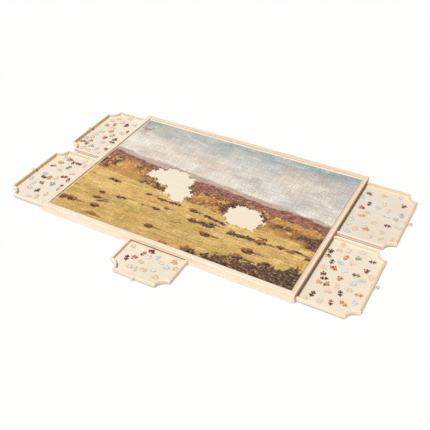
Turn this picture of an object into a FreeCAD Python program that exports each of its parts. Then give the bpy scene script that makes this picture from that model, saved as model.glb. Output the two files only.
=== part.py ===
import FreeCAD, Part

import math
import os

import Sketcher
from FreeCAD import Placement, Rotation, Vector

# Jigsaw puzzle board with five sliding drawers, in millimetres.
#
# Four grooved rails frame a recessed work surface.  A second groove in the front and
# back rails, two runners and two guides carry five shallow drawers.  Each drawer is a
# thin floor under a low wall whose two outer corners are scalloped, with a turned knob
# glued into the face by its tenon.  An unfinished jigsaw puzzle lies on the surface.
#
# Origin: middle of the footprint, on the table.  +X right, +Y back, +Z up.
# The drawers stand open by the sizes that begin with "out_".

SIZES = [
    ("case_length", 889.0, "frame, left to right"),
    ("case_depth", 635.0, "frame, front to back"),
    ("rail_stem", 10.5, "rail thickness behind its grooves"),
    ("groove_depth", 5.5, "depth of every groove"),
    ("ledge_thickness", 2.5, "wood under a drawer groove"),
    ("tongue_thickness", 4.1, "wood between a drawer groove and the board"),
    ("board_thickness", 4.0, "work surface"),
    ("board_gap", 0.5, "board edge to the bottom of its groove"),
    ("recess_depth", 6.0, "rail top down to the work surface"),
    ("rail_outer_round", 2.5, "radius on the outer top edge of a rail"),
    ("rail_inner_round", 1.0, "radius on the inner top edge of a rail"),
    ("runner_web", 19.2, "runner between its two grooves"),
    ("runner_setback", 1.5, "runner end behind the outer face of the side rail"),
    ("guide_web", 8.6, "guide thickness behind its groove"),
    ("brace_width", 20.0, "centre brace, front to back"),
    ("front_drawer_width", 210.0, "front drawer, side to side"),
    ("slide_gap", 0.4, "drawer side to groove"),
    ("run_gap", 0.3, "drawer underside to ledge"),
    ("head_gap", 0.7, "drawer top to the top of its groove"),
    ("stop_gap", 0.5, "closed drawer to its stop"),
    ("floor_thickness", 3.0, "drawer floor"),
    ("wall_height", 9.4, "drawer wall above its floor"),
    ("wall_thickness", 7.0, "drawer wall"),
    ("wall_outer_bevel", 2.0, "bevel on the outer top edge of a drawer wall"),
    ("wall_inner_bevel", 0.8, "bevel on the inner top edge of a drawer wall"),
    ("scallop_radius", 32.0, "concave outer corners of a drawer"),
    ("knob_level", 6.6, "knob axis above the drawer underside"),
    ("knob_neck_radius", 2.7, "knob between the drawer face and its head"),
    ("knob_neck_length", 6.2, "knob between the drawer face and its head"),
    ("knob_flare", 2.8, "knob head from its neck to its rim, along the axis"),
    ("knob_head_radius", 5.0, "knob head at its rim"),
    ("knob_rim", 3.0, "straight rim of the knob head"),
    ("knob_crown", 2.0, "knob head from its rim to its front face, along the axis"),
    ("knob_front_radius", 3.0, "flat front face of the knob head"),
    ("tenon_radius", 2.2, "knob tenon in the drawer face"),
    ("tenon_length", 5.0, "knob tenon in the drawer face"),
    ("tenon_gap", 0.1, "glue gap round the tenon"),
    ("tenon_end_gap", 0.3, "tenon end to the bottom of its hole"),
    ("out_left_back", 162.0, "how far the left back drawer stands open"),
    ("out_left_front", 169.0, "how far the left front drawer stands open"),
    ("out_right_back", 181.0, "how far the right back drawer stands open"),
    ("out_right_front", 177.0, "how far the right front drawer stands open"),
    ("out_front", 130.0, "how far the front drawer stands open"),
    ("puzzle_left_margin", 5.0, "bare board between the left rail and the puzzle"),
    ("puzzle_right_margin", 2.0, "bare board between the right rail and the puzzle"),
    ("puzzle_front_margin", 4.0, "bare board between the front rail and the puzzle"),
    ("puzzle_back_margin", 9.0, "bare board between the back rail and the puzzle"),
    ("puzzle_thickness", 2.0, "puzzle board"),
    ("puzzle_columns", 50, "puzzle pieces, left to right"),
    ("puzzle_rows", 30, "puzzle pieces, front to back"),
    ("tab_neck", 3.6, "width of a puzzle tab at the edge of its piece"),
    ("tab_head", 6.6, "greatest width of a puzzle tab"),
    ("tab_reach", 5.4, "puzzle tab beyond the edge of its piece"),
    ("cut_margin", 1.0, "how far a cutting shape runs past what it cuts"),
]

# Lengths that follow from the sizes.
RAIL_WIDTH = "(Sizes.rail_stem + Sizes.groove_depth)"
DRAWER_RISE = "(Sizes.ledge_thickness + Sizes.run_gap)"
DRAWER_HEIGHT = "(Sizes.floor_thickness + Sizes.wall_height)"
BAY_TOP = f"({DRAWER_RISE} + {DRAWER_HEIGHT} + Sizes.head_gap)"
BOARD_UNDERSIDE = f"({BAY_TOP} + Sizes.tongue_thickness)"
BOARD_TOP = f"({BOARD_UNDERSIDE} + Sizes.board_thickness)"
RAIL_TOP = f"({BOARD_TOP} + Sizes.recess_depth)"
SLOT_HALF = "(Sizes.front_drawer_width / 2 + Sizes.slide_gap)"
GUIDE_WIDTH = "(Sizes.guide_web + Sizes.groove_depth)"
GUIDE_OUTSIDE = f"({SLOT_HALF} + Sizes.guide_web)"
SIDE_DRAWER_START = "(Sizes.runner_web / 2 + Sizes.slide_gap)"
SIDE_DRAWER_END = "(Sizes.case_depth / 2 - Sizes.rail_stem - Sizes.slide_gap)"
SIDE_DRAWER_WIDTH = f"({SIDE_DRAWER_END} - {SIDE_DRAWER_START})"
SIDE_DRAWER_MIDDLE = f"(({SIDE_DRAWER_END} + {SIDE_DRAWER_START}) / 2)"
SIDE_DRAWER_LENGTH = f"(Sizes.case_length / 2 - {GUIDE_OUTSIDE} - Sizes.stop_gap)"
FRONT_DRAWER_LENGTH = "(Sizes.case_depth / 2 - Sizes.brace_width / 2 - Sizes.stop_gap)"
PUZZLE_LEFT = f"({RAIL_WIDTH} + Sizes.puzzle_left_margin - Sizes.case_length / 2)"
PUZZLE_RIGHT = f"(Sizes.case_length / 2 - {RAIL_WIDTH} - Sizes.puzzle_right_margin)"
PUZZLE_FRONT = f"({RAIL_WIDTH} + Sizes.puzzle_front_margin - Sizes.case_depth / 2)"
PUZZLE_BACK = f"(Sizes.case_depth / 2 - {RAIL_WIDTH} - Sizes.puzzle_back_margin)"
SCALLOP_OUTSIDE = "(Sizes.scallop_radius + Sizes.wall_thickness)"
SCALLOP_REACH = f"sqrt({SCALLOP_OUTSIDE}^2 - Sizes.wall_thickness^2)"
WALL_OUTER_BEVEL = "min(Sizes.wall_outer_bevel; Sizes.wall_thickness * 0.45; Sizes.wall_height * 0.45)"
WALL_INNER_BEVEL = "min(Sizes.wall_inner_bevel; Sizes.wall_thickness * 0.45; Sizes.wall_height * 0.45)"
RAIL_OUTER_ROUND = f"min(Sizes.rail_outer_round; {RAIL_WIDTH} * 0.45; Sizes.recess_depth * 0.9)"
RAIL_INNER_ROUND = f"min(Sizes.rail_inner_round; {RAIL_WIDTH} * 0.45; Sizes.recess_depth * 0.9)"
CUT_MARGIN = "Sizes.cut_margin"

# Missing pieces of the puzzle: row from the back -> first and last missing column.
PUZZLE_GAPS = [
    {12: (14, 18), 13: (12, 20), 14: (11, 20), 15: (11, 20), 16: (14, 21), 17: (17, 22), 18: (17, 21), 19: (19, 21)},
    {16: (32, 36), 17: (31, 37), 18: (31, 38), 19: (31, 37), 20: (32, 37)},
]

doc = FreeCAD.newDocument("PuzzleBoard")
sheet = doc.addObject("Spreadsheet::Sheet", "Sizes")
pieces = []


def fill_sheet():
    for row, (alias, value, note) in enumerate(SIZES, start=1):
        sheet.set(f"A{row}", alias)
        sheet.set(f"B{row}", str(value))
        sheet.set(f"C{row}", note)
        sheet.setAlias(f"B{row}", alias)
    doc.recompute()


def value_of(expression):
    return float(sheet.evalExpression(expression))


# ---------------------------------------------------------------- sketch helpers

def new_body(name):
    body = doc.addObject("PartDesign::Body", name)
    body.Label = name
    pieces.append(body)
    return body


def new_sketch(body, role, name, offset="0"):
    sketch = body.newObject("Sketcher::SketchObject", name)
    plane = next(item for item in body.Origin.OriginFeatures if item.Role == role)
    sketch.AttachmentSupport = [(plane, "")]
    sketch.MapMode = "FlatFace"
    sketch.setExpression("AttachmentOffset.Base.z", offset)
    return sketch


def bind(sketch, constraint, expression):
    index = sketch.addConstraint(constraint)
    sketch.setExpression(f"Constraints[{index}]", expression)


def fix_point(sketch, geometry, position, x=None, y=None):
    """Dimensions a point from the sketch origin, or puts it on an axis."""
    if x == "0":
        sketch.addConstraint(Sketcher.Constraint("PointOnObject", geometry, position, -2))
    elif x is not None:
        bind(sketch, Sketcher.Constraint("DistanceX", -1, 1, geometry, position, value_of(x)), x)
    if y == "0":
        sketch.addConstraint(Sketcher.Constraint("PointOnObject", geometry, position, -1))
    elif y is not None:
        bind(sketch, Sketcher.Constraint("DistanceY", -1, 1, geometry, position, value_of(y)), y)


def draw_outline(sketch, corners, arcs=None):
    """Draws a closed outline.

    A corner is (x, y), or (x, y, fixed) where fixed is "x" or "y" if the arc that ends
    there settles its other coordinate.  arcs maps the number of the edge that starts at
    that corner to the (x, y, radius) of its circle.
    """
    arcs = arcs or {}
    points = [Vector(value_of(corner[0]), value_of(corner[1]), 0) for corner in corners]
    ends = []
    for number, start in enumerate(points):
        finish = points[(number + 1) % len(points)]
        if number in arcs:
            ends.append(add_arc(sketch, start, finish, *arcs[number]))
        else:
            sketch.addGeometry(Part.LineSegment(start, finish), False)
            ends.append((1, 2))
    for number, (start_end, finish_end) in enumerate(ends):
        following = (number + 1) % len(ends)
        sketch.addConstraint(
            Sketcher.Constraint("Coincident", number, finish_end, following, ends[following][0]))
    for number, (x, y, *fixed) in enumerate(corners):
        kept = fixed[0] if fixed else "xy"
        fix_point(sketch, number, ends[number][0], x if "x" in kept else None, y if "y" in kept else None)


def add_arc(sketch, start, finish, x, y, radius):
    """Adds the shorter arc from start to finish and returns its two end numbers in that order."""
    centre = Vector(value_of(x), value_of(y), 0)
    first = math.atan2(start.y - centre.y, start.x - centre.x)
    last = math.atan2(finish.y - centre.y, finish.x - centre.x)
    forward = (last - first) % (2 * math.pi) < math.pi
    circle = Part.Circle(centre, Vector(0, 0, 1), value_of(radius))
    low, high = (first, last) if forward else (last, first)
    geometry = sketch.addGeometry(Part.ArcOfCircle(circle, low, high), False)
    bind(sketch, Sketcher.Constraint("Radius", geometry, value_of(radius)), radius)
    fix_point(sketch, geometry, 3, x, y)
    return (1, 2) if forward else (2, 1)


def pad(body, sketch, length, middle=False):
    feature = body.newObject("PartDesign::Pad", "Pad")
    feature.Profile = sketch
    feature.setExpression("Length", length)
    feature.Midplane = middle
    doc.recompute()
    return feature


def cut(body, sketch, depth=None, reverse=False):
    """Cuts the sketch to a depth, or right through, and stops if that removes nothing."""
    before = body.Shape.Volume
    feature = body.newObject("PartDesign::Pocket", "Pocket")
    feature.Profile = sketch
    feature.Reversed = reverse
    if depth is None:
        feature.Type = "ThroughAll"
    else:
        feature.setExpression("Length", depth)
    doc.recompute()
    if body.Shape.Volume >= before:
        raise RuntimeError(f"{sketch.Name} cuts nothing")


def dress_edges(kind, size_name, body, feature, chosen, size):
    names = [f"Edge{number}" for number, edge in enumerate(feature.Shape.Edges, start=1) if chosen(edge)]
    dressing = body.newObject(kind, "Edges")
    dressing.Base = (feature, names)
    dressing.setExpression(size_name, size)
    doc.recompute()
    return dressing


def round_edges(body, feature, chosen, radius):
    return dress_edges("PartDesign::Fillet", "Radius", body, feature, chosen, radius)


def bevel_edges(body, feature, chosen, size):
    return dress_edges("PartDesign::Chamfer", "Size", body, feature, chosen, size)


def turn_profile(body, sketch):
    feature = body.newObject("PartDesign::Revolution", "Revolution")
    feature.Profile = sketch
    feature.ReferenceAxis = (sketch, ["H_Axis"])
    feature.Angle = 360
    doc.recompute()


def lies_at_height(edge, height):
    box = edge.BoundBox
    return abs(box.ZMin - height) < 1e-4 and abs(box.ZMax - height) < 1e-4


def runs_along_x(edge, y, z):
    """True for an edge on the line through y and z."""
    box = edge.BoundBox
    return lies_at_height(edge, z) and abs(box.YMin - y) < 1e-4 and abs(box.YMax - y) < 1e-4


def runs_along_y(edge, x, z):
    """True for an edge on the line through x and z."""
    box = edge.BoundBox
    return lies_at_height(edge, z) and abs(box.XMin - x) < 1e-4 and abs(box.XMax - x) < 1e-4


def is_arc_at(edge, radius, z):
    is_arc = isinstance(edge.Curve, Part.Circle) and abs(edge.Curve.Radius - radius) < 1e-4
    return is_arc and lies_at_height(edge, z)


def place(piece, turn, x="0", y="0", z="0"):
    piece.Placement = Placement(Vector(), Rotation(Vector(0, 0, 1), turn))
    for axis, expression in zip("xyz", (x, y, z)):
        piece.setExpression(f"Placement.Base.{axis}", expression)


# ---------------------------------------------------------------- frame

def mirrored_corners(half):
    """Closes a half outline, given from the lower to the upper end, about the vertical axis."""
    return half + [("-" + x, y) for x, y in reversed(half)]


def cut_mitres(body, length):
    """Cuts both ends at 45 degrees above the drawer bays."""
    for side in ("-", ""):
        end = f"({length} / 2)"
        sketch = new_sketch(body, "XY_Plane", "Mitre", BAY_TOP)
        draw_outline(sketch, [
            (f"{side}({end} + {CUT_MARGIN})", f"-{CUT_MARGIN}"),
            (f"{side}({end} + {CUT_MARGIN})", f"{RAIL_WIDTH} + {CUT_MARGIN}"),
            (f"{side}({end} - {RAIL_WIDTH} - {CUT_MARGIN})", f"{RAIL_WIDTH} + {CUT_MARGIN}"),
        ])
        cut(body, sketch, reverse=True)


def make_rail(name, length, bottom, turn, x="0", y="0"):
    """A rail along local X: outer face on local y = 0, grooves open towards local +Y."""
    body = new_body(name)
    sketch = new_sketch(body, "YZ_Plane", "Section")
    stem = "Sizes.rail_stem"
    drawer_groove = [
        (RAIL_WIDTH, "0"),
        (RAIL_WIDTH, "Sizes.ledge_thickness"),
        (stem, "Sizes.ledge_thickness"),
        (stem, BAY_TOP),
    ] if bottom == "0" else []
    draw_outline(sketch, [("0", bottom)] + drawer_groove + [
        (RAIL_WIDTH, BAY_TOP),
        (RAIL_WIDTH, BOARD_UNDERSIDE),
        (stem, BOARD_UNDERSIDE),
        (stem, BOARD_TOP),
        (RAIL_WIDTH, BOARD_TOP),
        (RAIL_WIDTH, RAIL_TOP),
        ("0", RAIL_TOP),
    ])
    rail = pad(body, sketch, length, middle=True)
    top = value_of(RAIL_TOP)
    for edge_y, radius in ((0, RAIL_OUTER_ROUND), (value_of(RAIL_WIDTH), RAIL_INNER_ROUND)):
        rail = round_edges(body, rail, lambda edge: runs_along_x(edge, edge_y, top), radius)
    cut_mitres(body, length)
    place(body, turn, x, y)
    return body


def cut_drawer_slot(body):
    """Opens the front rail for the front drawer, from the table up to the top of the bays."""
    sketch = new_sketch(body, "XZ_Plane", "Slot")
    draw_outline(sketch, mirrored_corners([
        (SLOT_HALF, f"-{CUT_MARGIN}"),
        (SLOT_HALF, BAY_TOP),
    ]))
    cut(body, sketch)


def make_work_surface():
    board = doc.addObject("Part::Box", "work_surface")
    board.Label = "work_surface"
    board.setExpression("Length", "Sizes.case_length - 2 * (Sizes.rail_stem + Sizes.board_gap)")
    board.setExpression("Width", "Sizes.case_depth - 2 * (Sizes.rail_stem + Sizes.board_gap)")
    board.setExpression("Height", "Sizes.board_thickness")
    corner_x = "-Sizes.case_length / 2 + Sizes.rail_stem + Sizes.board_gap"
    corner_y = "-Sizes.case_depth / 2 + Sizes.rail_stem + Sizes.board_gap"
    place(board, 0, corner_x, corner_y, BOARD_UNDERSIDE)
    pieces.append(board)


def make_guide(name, turn, x):
    """A guide between the front and back rails: it carries the front drawer and stops the side ones."""
    body = new_body(name)
    sketch = new_sketch(body, "YZ_Plane", "Section")
    web = "Sizes.guide_web"
    draw_outline(sketch, [
        ("0", "0"),
        (GUIDE_WIDTH, "0"),
        (GUIDE_WIDTH, "Sizes.ledge_thickness"),
        (web, "Sizes.ledge_thickness"),
        (web, BAY_TOP),
        (GUIDE_WIDTH, BAY_TOP),
        (GUIDE_WIDTH, BOARD_UNDERSIDE),
        ("0", BOARD_UNDERSIDE),
    ])
    pad(body, sketch, f"Sizes.case_depth - 2 * {RAIL_WIDTH}", middle=True)
    place(body, turn, x)


def make_runner(name, turn, x):
    """A runner between the two drawers of one side, notched at its end to carry the side rail."""
    body = new_body(name)
    sketch = new_sketch(body, "YZ_Plane", "Section")
    web = "Sizes.runner_web / 2"
    flange = "(Sizes.runner_web / 2 + Sizes.groove_depth)"
    draw_outline(sketch, mirrored_corners([
        (flange, "0"),
        (flange, "Sizes.ledge_thickness"),
        (web, "Sizes.ledge_thickness"),
        (web, BAY_TOP),
        (flange, BAY_TOP),
        (flange, BOARD_UNDERSIDE),
    ]))
    pad(body, sketch, f"Sizes.case_length / 2 - {GUIDE_OUTSIDE} - Sizes.runner_setback")
    notch = new_sketch(body, "XY_Plane", "Notch", BAY_TOP)
    notch_start = f"Sizes.case_length / 2 - {GUIDE_OUTSIDE} - {RAIL_WIDTH}"
    notch_end = f"Sizes.case_length / 2 - {GUIDE_OUTSIDE} + {CUT_MARGIN}"
    draw_outline(notch, [
        (notch_start, f"-{flange} - {CUT_MARGIN}"),
        (notch_end, f"-{flange} - {CUT_MARGIN}"),
        (notch_end, f"{flange} + {CUT_MARGIN}"),
        (notch_start, f"{flange} + {CUT_MARGIN}"),
    ])
    cut(body, notch, reverse=True)
    place(body, turn, x)


def make_centre_brace():
    """The brace under the middle of the board, tenoned into the grooves of the guides."""
    body = new_body("centre_brace")
    sketch = new_sketch(body, "XZ_Plane", "Section")
    shoulder = f"({GUIDE_OUTSIDE} - {GUIDE_WIDTH})"
    draw_outline(sketch, mirrored_corners([
        (shoulder, "0"),
        (shoulder, "Sizes.ledge_thickness"),
        (SLOT_HALF, "Sizes.ledge_thickness"),
        (SLOT_HALF, BAY_TOP),
        (shoulder, BAY_TOP),
        (shoulder, BOARD_UNDERSIDE),
    ]))
    pad(body, sketch, "Sizes.brace_width", middle=True)


# ---------------------------------------------------------------- drawers
#
# Local frame of a drawer: +X points out of the case, x = 0 is the outer face,
# y = 0 the middle and z = 0 the underside.  Left and right are those of someone
# who stands in front of the drawer: left is local -Y.

class Drawer:
    def __init__(self, name, turn, width, length, x, y):
        self.name = name
        self.turn = turn
        self.half = f"({width} / 2)"
        self.length = length
        self.x = x
        self.y = y

    def settle(self, piece, level):
        place(piece, self.turn, self.x, self.y, f"{DRAWER_RISE} + {level}")

    def body(self, part):
        return new_body(f"{self.name}_{part}")


def build_wall(body, sketch, lies_along, outer, inner):
    """Raises a wall from its outline and bevels its long top edges; its mitred ends stay sharp.

    lies_along(edge, place, z) picks an edge by its place, a coordinate or a radius.
    """
    wall = pad(body, sketch, "Sizes.wall_height")
    top = value_of("Sizes.wall_height")
    for place_of_edge, size in ((outer, WALL_OUTER_BEVEL), (inner, WALL_INNER_BEVEL)):
        wall = bevel_edges(body, wall, lambda edge: lies_along(edge, value_of(place_of_edge), top), size)


def make_floor(drawer):
    body = drawer.body("floor")
    sketch = new_sketch(body, "XY_Plane", "Outline")
    radius = "Sizes.scallop_radius"
    draw_outline(sketch, [
        (f"-{drawer.length}", f"-{drawer.half}"),
        (f"-{radius}", f"-{drawer.half}", "y"),
        ("0", f"-{drawer.half} + {radius}", "x"),
        ("0", f"{drawer.half} - {radius}", "x"),
        (f"-{radius}", drawer.half, "y"),
        (f"-{drawer.length}", drawer.half),
    ], arcs={
        1: ("0", f"-{drawer.half}", radius),
        3: ("0", drawer.half, radius),
    })
    pad(body, sketch, "Sizes.floor_thickness")
    drawer.settle(body, "0")


def make_face(drawer):
    """The outer wall, mitred into both scalloped corners and drilled for the knob's tenon."""
    body = drawer.body("face")
    sketch = new_sketch(body, "XY_Plane", "Outline")
    outside = f"({drawer.half} - Sizes.scallop_radius)"
    inside = f"({drawer.half} - {SCALLOP_REACH})"
    draw_outline(sketch, [
        ("0", f"-{outside}"),
        ("0", outside),
        ("-Sizes.wall_thickness", inside),
        ("-Sizes.wall_thickness", f"-{inside}"),
    ])
    build_wall(body, sketch, runs_along_y, "0", "-Sizes.wall_thickness")
    hole = new_sketch(body, "YZ_Plane", "TenonHole")
    hole.addGeometry(Part.Circle(Vector(0, 4, 0), Vector(0, 0, 1), 2), False)
    bind(hole, Sketcher.Constraint("Radius", 0, 2), "Sizes.tenon_radius + Sizes.tenon_gap")
    fix_point(hole, 0, 3, "0", "Sizes.knob_level - Sizes.floor_thickness")
    cut(body, hole, depth="Sizes.tenon_length + Sizes.tenon_end_gap")
    drawer.settle(body, "Sizes.floor_thickness")


def make_side(drawer, part, side):
    """A side wall; side is "" for the right one and "-" for the left one."""
    body = drawer.body(part)
    sketch = new_sketch(body, "XY_Plane", "Outline")
    inner = f"{side}({drawer.half} - Sizes.wall_thickness)"
    draw_outline(sketch, [
        (f"-{drawer.length}", f"{side}{drawer.half}"),
        ("-Sizes.scallop_radius", f"{side}{drawer.half}"),
        (f"-{SCALLOP_REACH}", inner),
        (f"-{drawer.length}", inner),
    ])
    build_wall(body, sketch, runs_along_x, f"{side}{drawer.half}", inner)
    drawer.settle(body, "Sizes.floor_thickness")


def bend_corner(drawer, part, side):
    """The curved wall round a scalloped corner, mitred at both ends."""
    body = doc.addObject("PartDesign::Body", f"{drawer.name}_{part}")
    sketch = new_sketch(body, "XY_Plane", "Outline")
    centre = f"{side}{drawer.half}"
    draw_outline(sketch, [
        ("-Sizes.scallop_radius", centre, "y"),
        ("0", f"{side}({drawer.half} - Sizes.scallop_radius)", "x"),
        ("-Sizes.wall_thickness", f"{side}({drawer.half} - {SCALLOP_REACH})", "x"),
        (f"-{SCALLOP_REACH}", f"{side}({drawer.half} - Sizes.wall_thickness)", "y"),
    ], arcs={
        0: ("0", centre, "Sizes.scallop_radius"),
        2: ("0", centre, SCALLOP_OUTSIDE),
    })
    build_wall(body, sketch, is_arc_at, "Sizes.scallop_radius", SCALLOP_OUTSIDE)
    return body


def make_corners(drawer):
    """Both scalloped corners of a drawer, as one group of two solids."""
    pair = doc.addObject("Part::Compound", f"{drawer.name}_corners")
    pair.Label = f"{drawer.name}_corners"
    pair.Links = [bend_corner(drawer, "left_corner", "-"), bend_corner(drawer, "right_corner", "")]
    pieces.append(pair)
    doc.recompute()
    drawer.settle(pair, "Sizes.floor_thickness")


def make_back(drawer):
    """The inner wall, which fits between the two side walls."""
    body = drawer.body("back")
    sketch = new_sketch(body, "XY_Plane", "Outline")
    end = f"({drawer.half} - Sizes.wall_thickness)"
    draw_outline(sketch, [
        (f"-{drawer.length}", f"-{end}"),
        (f"-{drawer.length} + Sizes.wall_thickness", f"-{end}"),
        (f"-{drawer.length} + Sizes.wall_thickness", end),
        (f"-{drawer.length}", end),
    ])
    build_wall(body, sketch, runs_along_y, f"-{drawer.length}", f"-{drawer.length} + Sizes.wall_thickness")
    drawer.settle(body, "Sizes.floor_thickness")


def make_knob(drawer):
    """A turned knob: tenon glued into the face, neck, flared head and a bevelled front."""
    body = drawer.body("knob")
    sketch = new_sketch(body, "XZ_Plane", "Profile")
    rim_start = "(Sizes.knob_neck_length + Sizes.knob_flare)"
    rim_end = f"({rim_start} + Sizes.knob_rim)"
    front = f"({rim_end} + Sizes.knob_crown)"
    draw_outline(sketch, [
        ("-Sizes.tenon_length", "0"),
        ("-Sizes.tenon_length", "Sizes.tenon_radius"),
        ("0", "Sizes.tenon_radius"),
        ("0", "Sizes.knob_neck_radius"),
        ("Sizes.knob_neck_length", "Sizes.knob_neck_radius"),
        (rim_start, "Sizes.knob_head_radius"),
        (rim_end, "Sizes.knob_head_radius"),
        (front, "Sizes.knob_front_radius"),
        (front, "0"),
    ])
    turn_profile(body, sketch)
    drawer.settle(body, "Sizes.knob_level")


def make_drawer(drawer):
    make_floor(drawer)
    make_face(drawer)
    make_back(drawer)
    make_side(drawer, "left_side", "-")
    make_side(drawer, "right_side", "")
    make_corners(drawer)
    make_knob(drawer)


# ---------------------------------------------------------------- puzzle

def missing_cells(gap):
    return {(row, column) for row, (first, last) in gap.items() for column in range(first, last + 1)}


def tab_shape(x, y, across_x, across_y, thickness):
    """A puzzle tab from the edge of a piece at x, y, growing in the direction across_x, across_y."""
    reach = value_of("Sizes.tab_reach")
    neck = value_of("Sizes.tab_neck / 2")
    head = value_of("Sizes.tab_head / 2")
    root = -value_of(CUT_MARGIN)
    half = [(root, neck), (0, neck), (reach / 2, head), (reach, neck)]
    outline = half + [(along, -aside) for along, aside in reversed(half)]
    points = [
        Vector(x + along * across_x - aside * across_y, y + along * across_y + aside * across_x, 0)
        for along, aside in outline
    ]
    return Part.Face(Part.makePolygon(points + points[:1])).extrude(Vector(0, 0, thickness))


def gap_shape(gap, left, back, cell_x, cell_y, thickness):
    """One gap in the puzzle: the missing cells, with a tab in or out on each edge of the gap."""
    cells = missing_cells(gap)
    strips = []
    tabs_out = []
    tabs_in = []
    for row, (first, last) in gap.items():
        corner = Vector(left + first * cell_x, back - (row + 1) * cell_y, 0)
        strips.append(Part.makeBox((last - first + 1) * cell_x, cell_y, thickness, corner))
    for row, column in sorted(cells):
        for row_step, column_step in ((0, 1), (0, -1), (1, 0), (-1, 0)):
            if (row + row_step, column + column_step) in cells:
                continue
            edge_x = left + (column + 0.5 + column_step / 2) * cell_x
            edge_y = back - (row + 0.5 + row_step / 2) * cell_y
            if (row + column + row_step) % 2 == 0:
                tabs_out.append(tab_shape(edge_x, edge_y, column_step, -row_step, thickness))
            else:
                tabs_in.append(tab_shape(edge_x, edge_y, -column_step, row_step, thickness))
    shape = strips[0].multiFuse(strips[1:] + tabs_out).removeSplitter()
    return shape.cut(Part.makeCompound(tabs_in))


def make_puzzle():
    left = value_of(PUZZLE_LEFT)
    back = value_of(PUZZLE_BACK)
    length = value_of(PUZZLE_RIGHT) - left
    depth = back - value_of(PUZZLE_FRONT)
    thickness = value_of("Sizes.puzzle_thickness")
    cell_x = length / value_of("Sizes.puzzle_columns")
    cell_y = depth / value_of("Sizes.puzzle_rows")
    shape = Part.makeBox(length, depth, thickness, Vector(left, back - depth, 0))
    for gap in PUZZLE_GAPS:
        shape = shape.cut(gap_shape(gap, left, back, cell_x, cell_y, thickness))
    puzzle = doc.addObject("Part::Feature", "puzzle")
    puzzle.Label = "puzzle"
    puzzle.Shape = shape.Solids[0]
    puzzle.Placement = Placement(Vector(0, 0, value_of(BOARD_TOP)), Rotation())
    pieces.append(puzzle)


# ---------------------------------------------------------------- assembly

def make_frame():
    front = make_rail("front_rail", "Sizes.case_length", "0", 0, y="-Sizes.case_depth / 2")
    cut_drawer_slot(front)
    make_rail("back_rail", "Sizes.case_length", "0", 180, y="Sizes.case_depth / 2")
    make_rail("left_rail", "Sizes.case_depth", BAY_TOP, -90, x="-Sizes.case_length / 2")
    make_rail("right_rail", "Sizes.case_depth", BAY_TOP, 90, x="Sizes.case_length / 2")
    make_work_surface()
    make_guide("left_guide", -90, f"-{GUIDE_OUTSIDE}")
    make_guide("right_guide", 90, GUIDE_OUTSIDE)
    make_runner("left_runner", 180, f"-{GUIDE_OUTSIDE}")
    make_runner("right_runner", 0, GUIDE_OUTSIDE)
    make_centre_brace()


def make_drawers():
    middle = SIDE_DRAWER_MIDDLE
    for name, side, turn, y in (
        ("left_back", "-", 180, middle),
        ("left_front", "-", 180, f"-{middle}"),
        ("right_back", "", 0, middle),
        ("right_front", "", 0, f"-{middle}"),
    ):
        x = f"{side}(Sizes.case_length / 2 + Sizes.out_{name})"
        make_drawer(Drawer(f"{name}_drawer", turn, SIDE_DRAWER_WIDTH, SIDE_DRAWER_LENGTH, x, y))
    y = "-(Sizes.case_depth / 2 + Sizes.out_front)"
    make_drawer(Drawer("front_drawer", -90, "Sizes.front_drawer_width", FRONT_DRAWER_LENGTH, "0", y))


def check_and_export():
    doc.recompute()
    for item in doc.Objects:
        if "Invalid" in item.State or "Error" in item.State:
            raise RuntimeError(f"{item.Label} did not recompute: {item.State}")
    for piece in pieces:
        if piece.Shape.isNull() or not piece.Shape.isValid():
            raise RuntimeError(f"{piece.Label} has no valid shape")
    os.makedirs("parts", exist_ok=True)
    for piece in pieces:
        piece.Shape.exportStep(f"parts/{piece.Label}.step")
        print(f"{piece.Label}: {len(piece.Shape.Solids)} solid, {piece.Shape.Volume / 1000:.2f} cm3")


fill_sheet()
make_frame()
make_drawers()
make_puzzle()
check_and_export()
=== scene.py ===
import math
import random

import bmesh
import bpy
from mathutils import Matrix, Vector


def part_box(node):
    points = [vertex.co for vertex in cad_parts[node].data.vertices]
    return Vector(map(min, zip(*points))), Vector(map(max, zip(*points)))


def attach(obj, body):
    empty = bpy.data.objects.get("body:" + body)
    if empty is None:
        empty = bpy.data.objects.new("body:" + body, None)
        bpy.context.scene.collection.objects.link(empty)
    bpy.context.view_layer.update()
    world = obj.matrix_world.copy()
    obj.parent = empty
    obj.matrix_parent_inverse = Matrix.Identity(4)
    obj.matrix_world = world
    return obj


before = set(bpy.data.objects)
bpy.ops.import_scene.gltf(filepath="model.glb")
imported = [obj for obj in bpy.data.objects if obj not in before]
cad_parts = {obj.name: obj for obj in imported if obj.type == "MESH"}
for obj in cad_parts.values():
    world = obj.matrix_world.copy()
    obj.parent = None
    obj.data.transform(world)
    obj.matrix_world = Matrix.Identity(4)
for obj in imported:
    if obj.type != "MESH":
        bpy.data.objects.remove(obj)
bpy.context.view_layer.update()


scene = bpy.context.scene

# Everything here is in metres, and angles are in radians, unless a comment says otherwise.

# --- camera and light ----------------------------------------------------------------------------

# The camera was fitted to the photograph. Its lens and sensor are in mm.
LENS, SENSOR_WIDTH = 55.11, 36.0
FARTHEST_SEEN = 50.0
CAMERA_PLACE = Matrix((
    (0.87646, -0.29195, 0.38286, 0.87746),
    (0.48128, 0.55350, -0.67971, -1.51972),
    (-0.01347, 0.78000, 0.62563, 1.32897),
    (0.0, 0.0, 0.0, 1.0),
))

# The sun is slightly blue and the world's light warm, which together is plain light.
SUN_STRENGTH = 3.04
SUN_SPREAD = math.radians(9.0)
SUN_COLOUR = (0.878, 0.938, 1.0)
SUN_AIM = (0.14, 0.57, -1.10)
SKY_STRENGTH = 0.25
SKY_COLOUR = (1.0, 0.77, 0.48, 1.0)

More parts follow.
